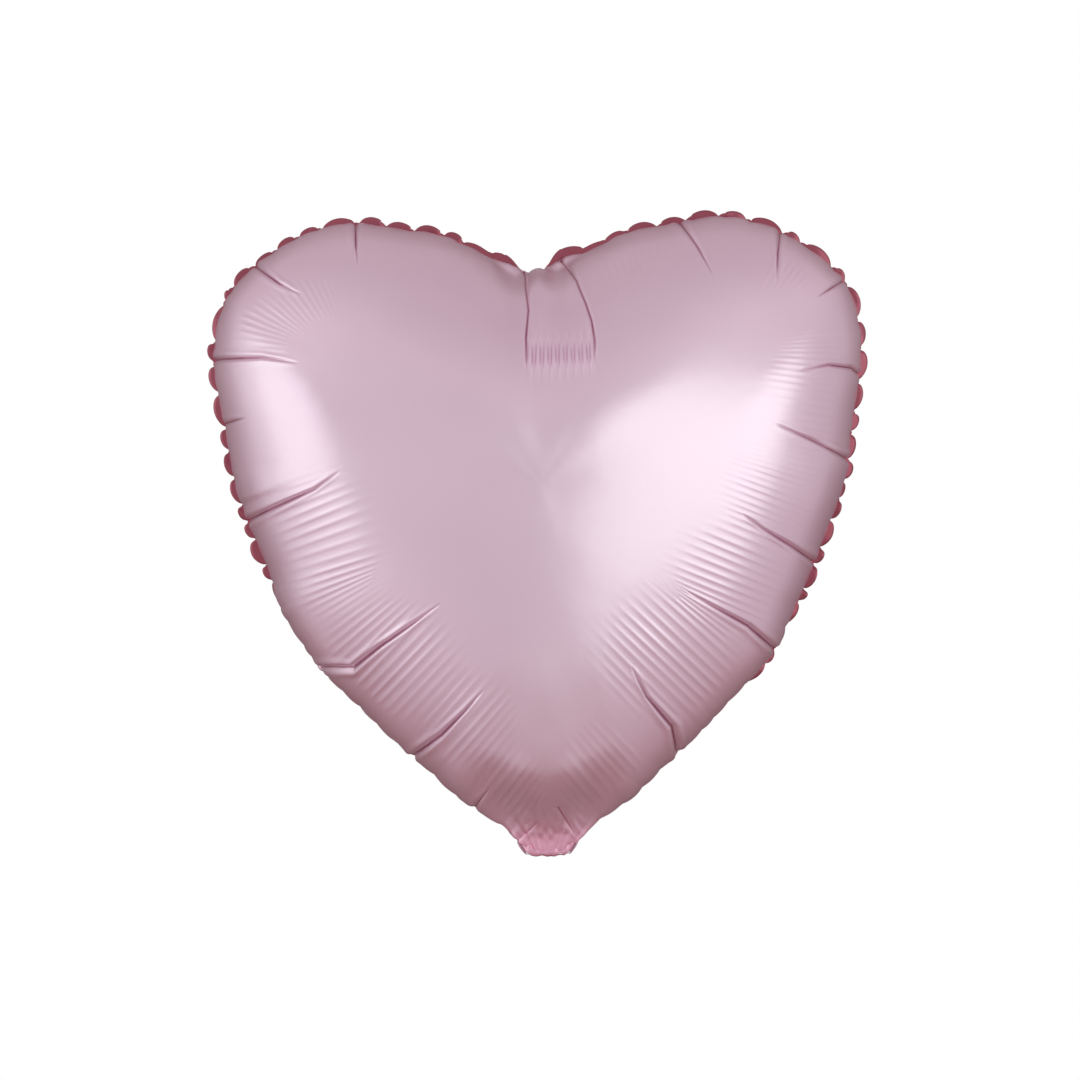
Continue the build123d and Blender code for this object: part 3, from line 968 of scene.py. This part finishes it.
# ------------------------------------------------------------------ studio
def area_light(name, place, aim, size_x, size_y, power, colour=(1, 1, 1)):
    data = bpy.data.lights.new(name, "AREA")
    data.shape = "RECTANGLE"
    data.size, data.size_y = size_x, size_y
    data.energy = power
    data.color = colour
    obj = bpy.data.objects.new(name, data)
    obj.location = place
    obj.rotation_euler = (Vector(aim) - Vector(place)).to_track_quat("-Z", "Y").to_euler()
    bpy.context.scene.collection.objects.link(obj)
    obj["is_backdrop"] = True
    return obj


def floor_disc():
    """A plain pale floor under the object."""
    ring = [(1.5 * math.cos(2 * math.pi * k / 96), 0.3 + 1.5 * math.sin(2 * math.pi * k / 96), -1.0) for k in range(96)]
    obj = make_object("floor", ring, [tuple(range(96))])
    mat, tree, bsdf = nodes_of("floor_paper")
    noise = tree.nodes.new("ShaderNodeTexNoise")
    noise.inputs["Scale"].default_value = 3
    ramp = tree.nodes.new("ShaderNodeValToRGB")
    ramp.color_ramp.elements[0].color = (0.86, 0.86, 0.86, 1)
    ramp.color_ramp.elements[1].color = (0.9, 0.9, 0.9, 1)
    tree.links.new(noise.outputs["Fac"], ramp.inputs["Fac"])
    tree.links.new(ramp.outputs["Color"], bsdf.inputs["Base Color"])
    bsdf.inputs["Roughness"].default_value = 0.9
    dress(obj, mat)
    obj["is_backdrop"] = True
    return obj


floor_disc()
area_light("softbox_right", (1.62, -1.80, 0.16), (0, 0, 0.19), 2.9, 2.1, 13.5, (0.80, 1.0, 0.92))
area_light("softbox_left", (-2.30, -0.74, 0.42), (0, 0, 0.2), 1.8, 1.7, 3.2, (0.80, 1.0, 0.93))
area_light("softbox_left_wide", (-2.75, -0.42, 0.26), (0, 0, 0.18), 3.3, 2.9, 7.6, (0.82, 1.0, 0.935))
over = area_light("floor_light", (0, 0.9, 1.9), (0, 0.4, -1.0), 2.4, 1.6, 92)
over.visible_glossy = False
bpy.data.objects["floor"].visible_glossy = False

world = bpy.data.worlds.new("studio")
bpy.context.scene.world = world
world.use_nodes = True
wt = world.node_tree
back = wt.nodes["Background"]
where = wt.nodes.new("ShaderNodeTexCoord")
split = wt.nodes.new("ShaderNodeSeparateXYZ")
wt.links.new(where.outputs["Generated"], split.inputs[0])


def world_ramp(axis, stops):
    shift = wt.nodes.new("ShaderNodeMapRange")
    shift.inputs["From Min"].default_value = -1
    shift.inputs["From Max"].default_value = 1
    wt.links.new(split.outputs[axis], shift.inputs["Value"])
    ramp = wt.nodes.new("ShaderNodeValToRGB")
    ramp.color_ramp.interpolation = "EASE"
    stop = ramp.color_ramp.elements
    stop[0].position, stop[0].color = stops[0][0], (*stops[0][1], 1)
    stop[1].position, stop[1].color = stops[-1][0], (*stops[-1][1], 1)
    for where_at, colour in stops[1:-1]:
        stop.new(where_at).color = (*colour, 1)
    wt.links.new(shift.outputs["Result"], ramp.inputs["Fac"])
    return ramp


# front (towards -Y) light, behind dark; above a little darker, below rose-brown
depth = world_ramp("Y", [(0.0, (0.71, 0.70, 0.71)), (0.30, (0.80, 0.79, 0.80)), (0.72, (0.66, 0.61, 0.63)), (0.88, (0.40, 0.32, 0.33)), (0.99, (0.22, 0.14, 0.15))])
height = world_ramp("Z", [(0.02, (0.70, 0.59, 0.59)), (0.14, (0.79, 0.70, 0.70)), (0.26, (1.0, 0.98, 0.98)), (0.38, (0.94, 0.93, 0.94)), (0.50, (1.01, 1.01, 1.01)), (0.66, (0.95, 0.94, 0.95)), (0.80, (1.00, 0.975, 0.985)), (0.98, (0.80, 0.755, 0.775))])
# low and behind it is darkest and brownest, which rims the lower edges
aim = wt.nodes.new("ShaderNodeVectorMath")
aim.operation = "DOT_PRODUCT"
aim.inputs[1].default_value = (0, 0.69, -0.72)
wt.links.new(where.outputs["Generated"], aim.inputs[0])
low = wt.nodes.new("ShaderNodeValToRGB")
low.color_ramp.interpolation = "EASE"
stop = low.color_ramp.elements
stop[0].position, stop[0].color = 0.58, (1.0, 0.93, 0.96, 1)
stop[1].position, stop[1].color = 0.90, (0.78, 0.56, 0.58, 1)
wt.links.new(aim.outputs["Value"], low.inputs["Fac"])
third = wt.nodes.new("ShaderNodeMix")
third.data_type = "RGBA"
third.blend_type = "MULTIPLY"
third.inputs["Factor"].default_value = 1.0
both = wt.nodes.new("ShaderNodeMix")
both.data_type = "RGBA"
both.blend_type = "MULTIPLY"
both.inputs["Factor"].default_value = 1.0
wt.links.new(depth.outputs["Color"], both.inputs[6])
wt.links.new(height.outputs["Color"], both.inputs[7])
wt.links.new(both.outputs[2], third.inputs[6])
wt.links.new(low.outputs["Color"], third.inputs[7])
wt.links.new(third.outputs[2], back.inputs["Color"])
white = wt.nodes.new("ShaderNodeBackground")
white.inputs["Color"].default_value = (1, 1, 1, 1)
white.inputs["Strength"].default_value = 1.0
ray = wt.nodes.new("ShaderNodeLightPath")
mix = wt.nodes.new("ShaderNodeMixShader")
wt.links.new(ray.outputs["Is Camera Ray"], mix.inputs["Fac"])
wt.links.new(back.outputs["Background"], mix.inputs[1])
wt.links.new(white.outputs["Background"], mix.inputs[2])
wt.links.new(mix.outputs["Shader"], wt.nodes["World Output"].inputs["Surface"])
back.inputs["Strength"].default_value = 1.0

cam_data = bpy.data.cameras.new("camera")
camera = bpy.data.objects.new("camera", cam_data)
bpy.context.scene.collection.objects.link(camera)
DISTANCE = 3.2
frame_width = 1080 * 0.3615 / 654  # metres across the picture at the seam plane
cam_data.sensor_width = 36
cam_data.lens = 36 * DISTANCE / frame_width
cam_data.clip_end = 30
# middle of the object in the picture
z_middle = (857 - 540) * 0.3615 / 654
camera.location = (-0.0009, -DISTANCE, z_middle)
camera.rotation_euler = (math.pi / 2, math.radians(1.17), 0)
bpy.context.scene.camera = camera
bpy.context.scene.view_settings.view_transform = "Standard"

bpy.data.objects["floor"]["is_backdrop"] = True

made_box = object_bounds()
flat_list = lambda box: [float(v) for row in box for v in (row if hasattr(row, "__len__") else [row])]
{"cad": flat_list(cad_box), "visual": flat_list(made_box)}
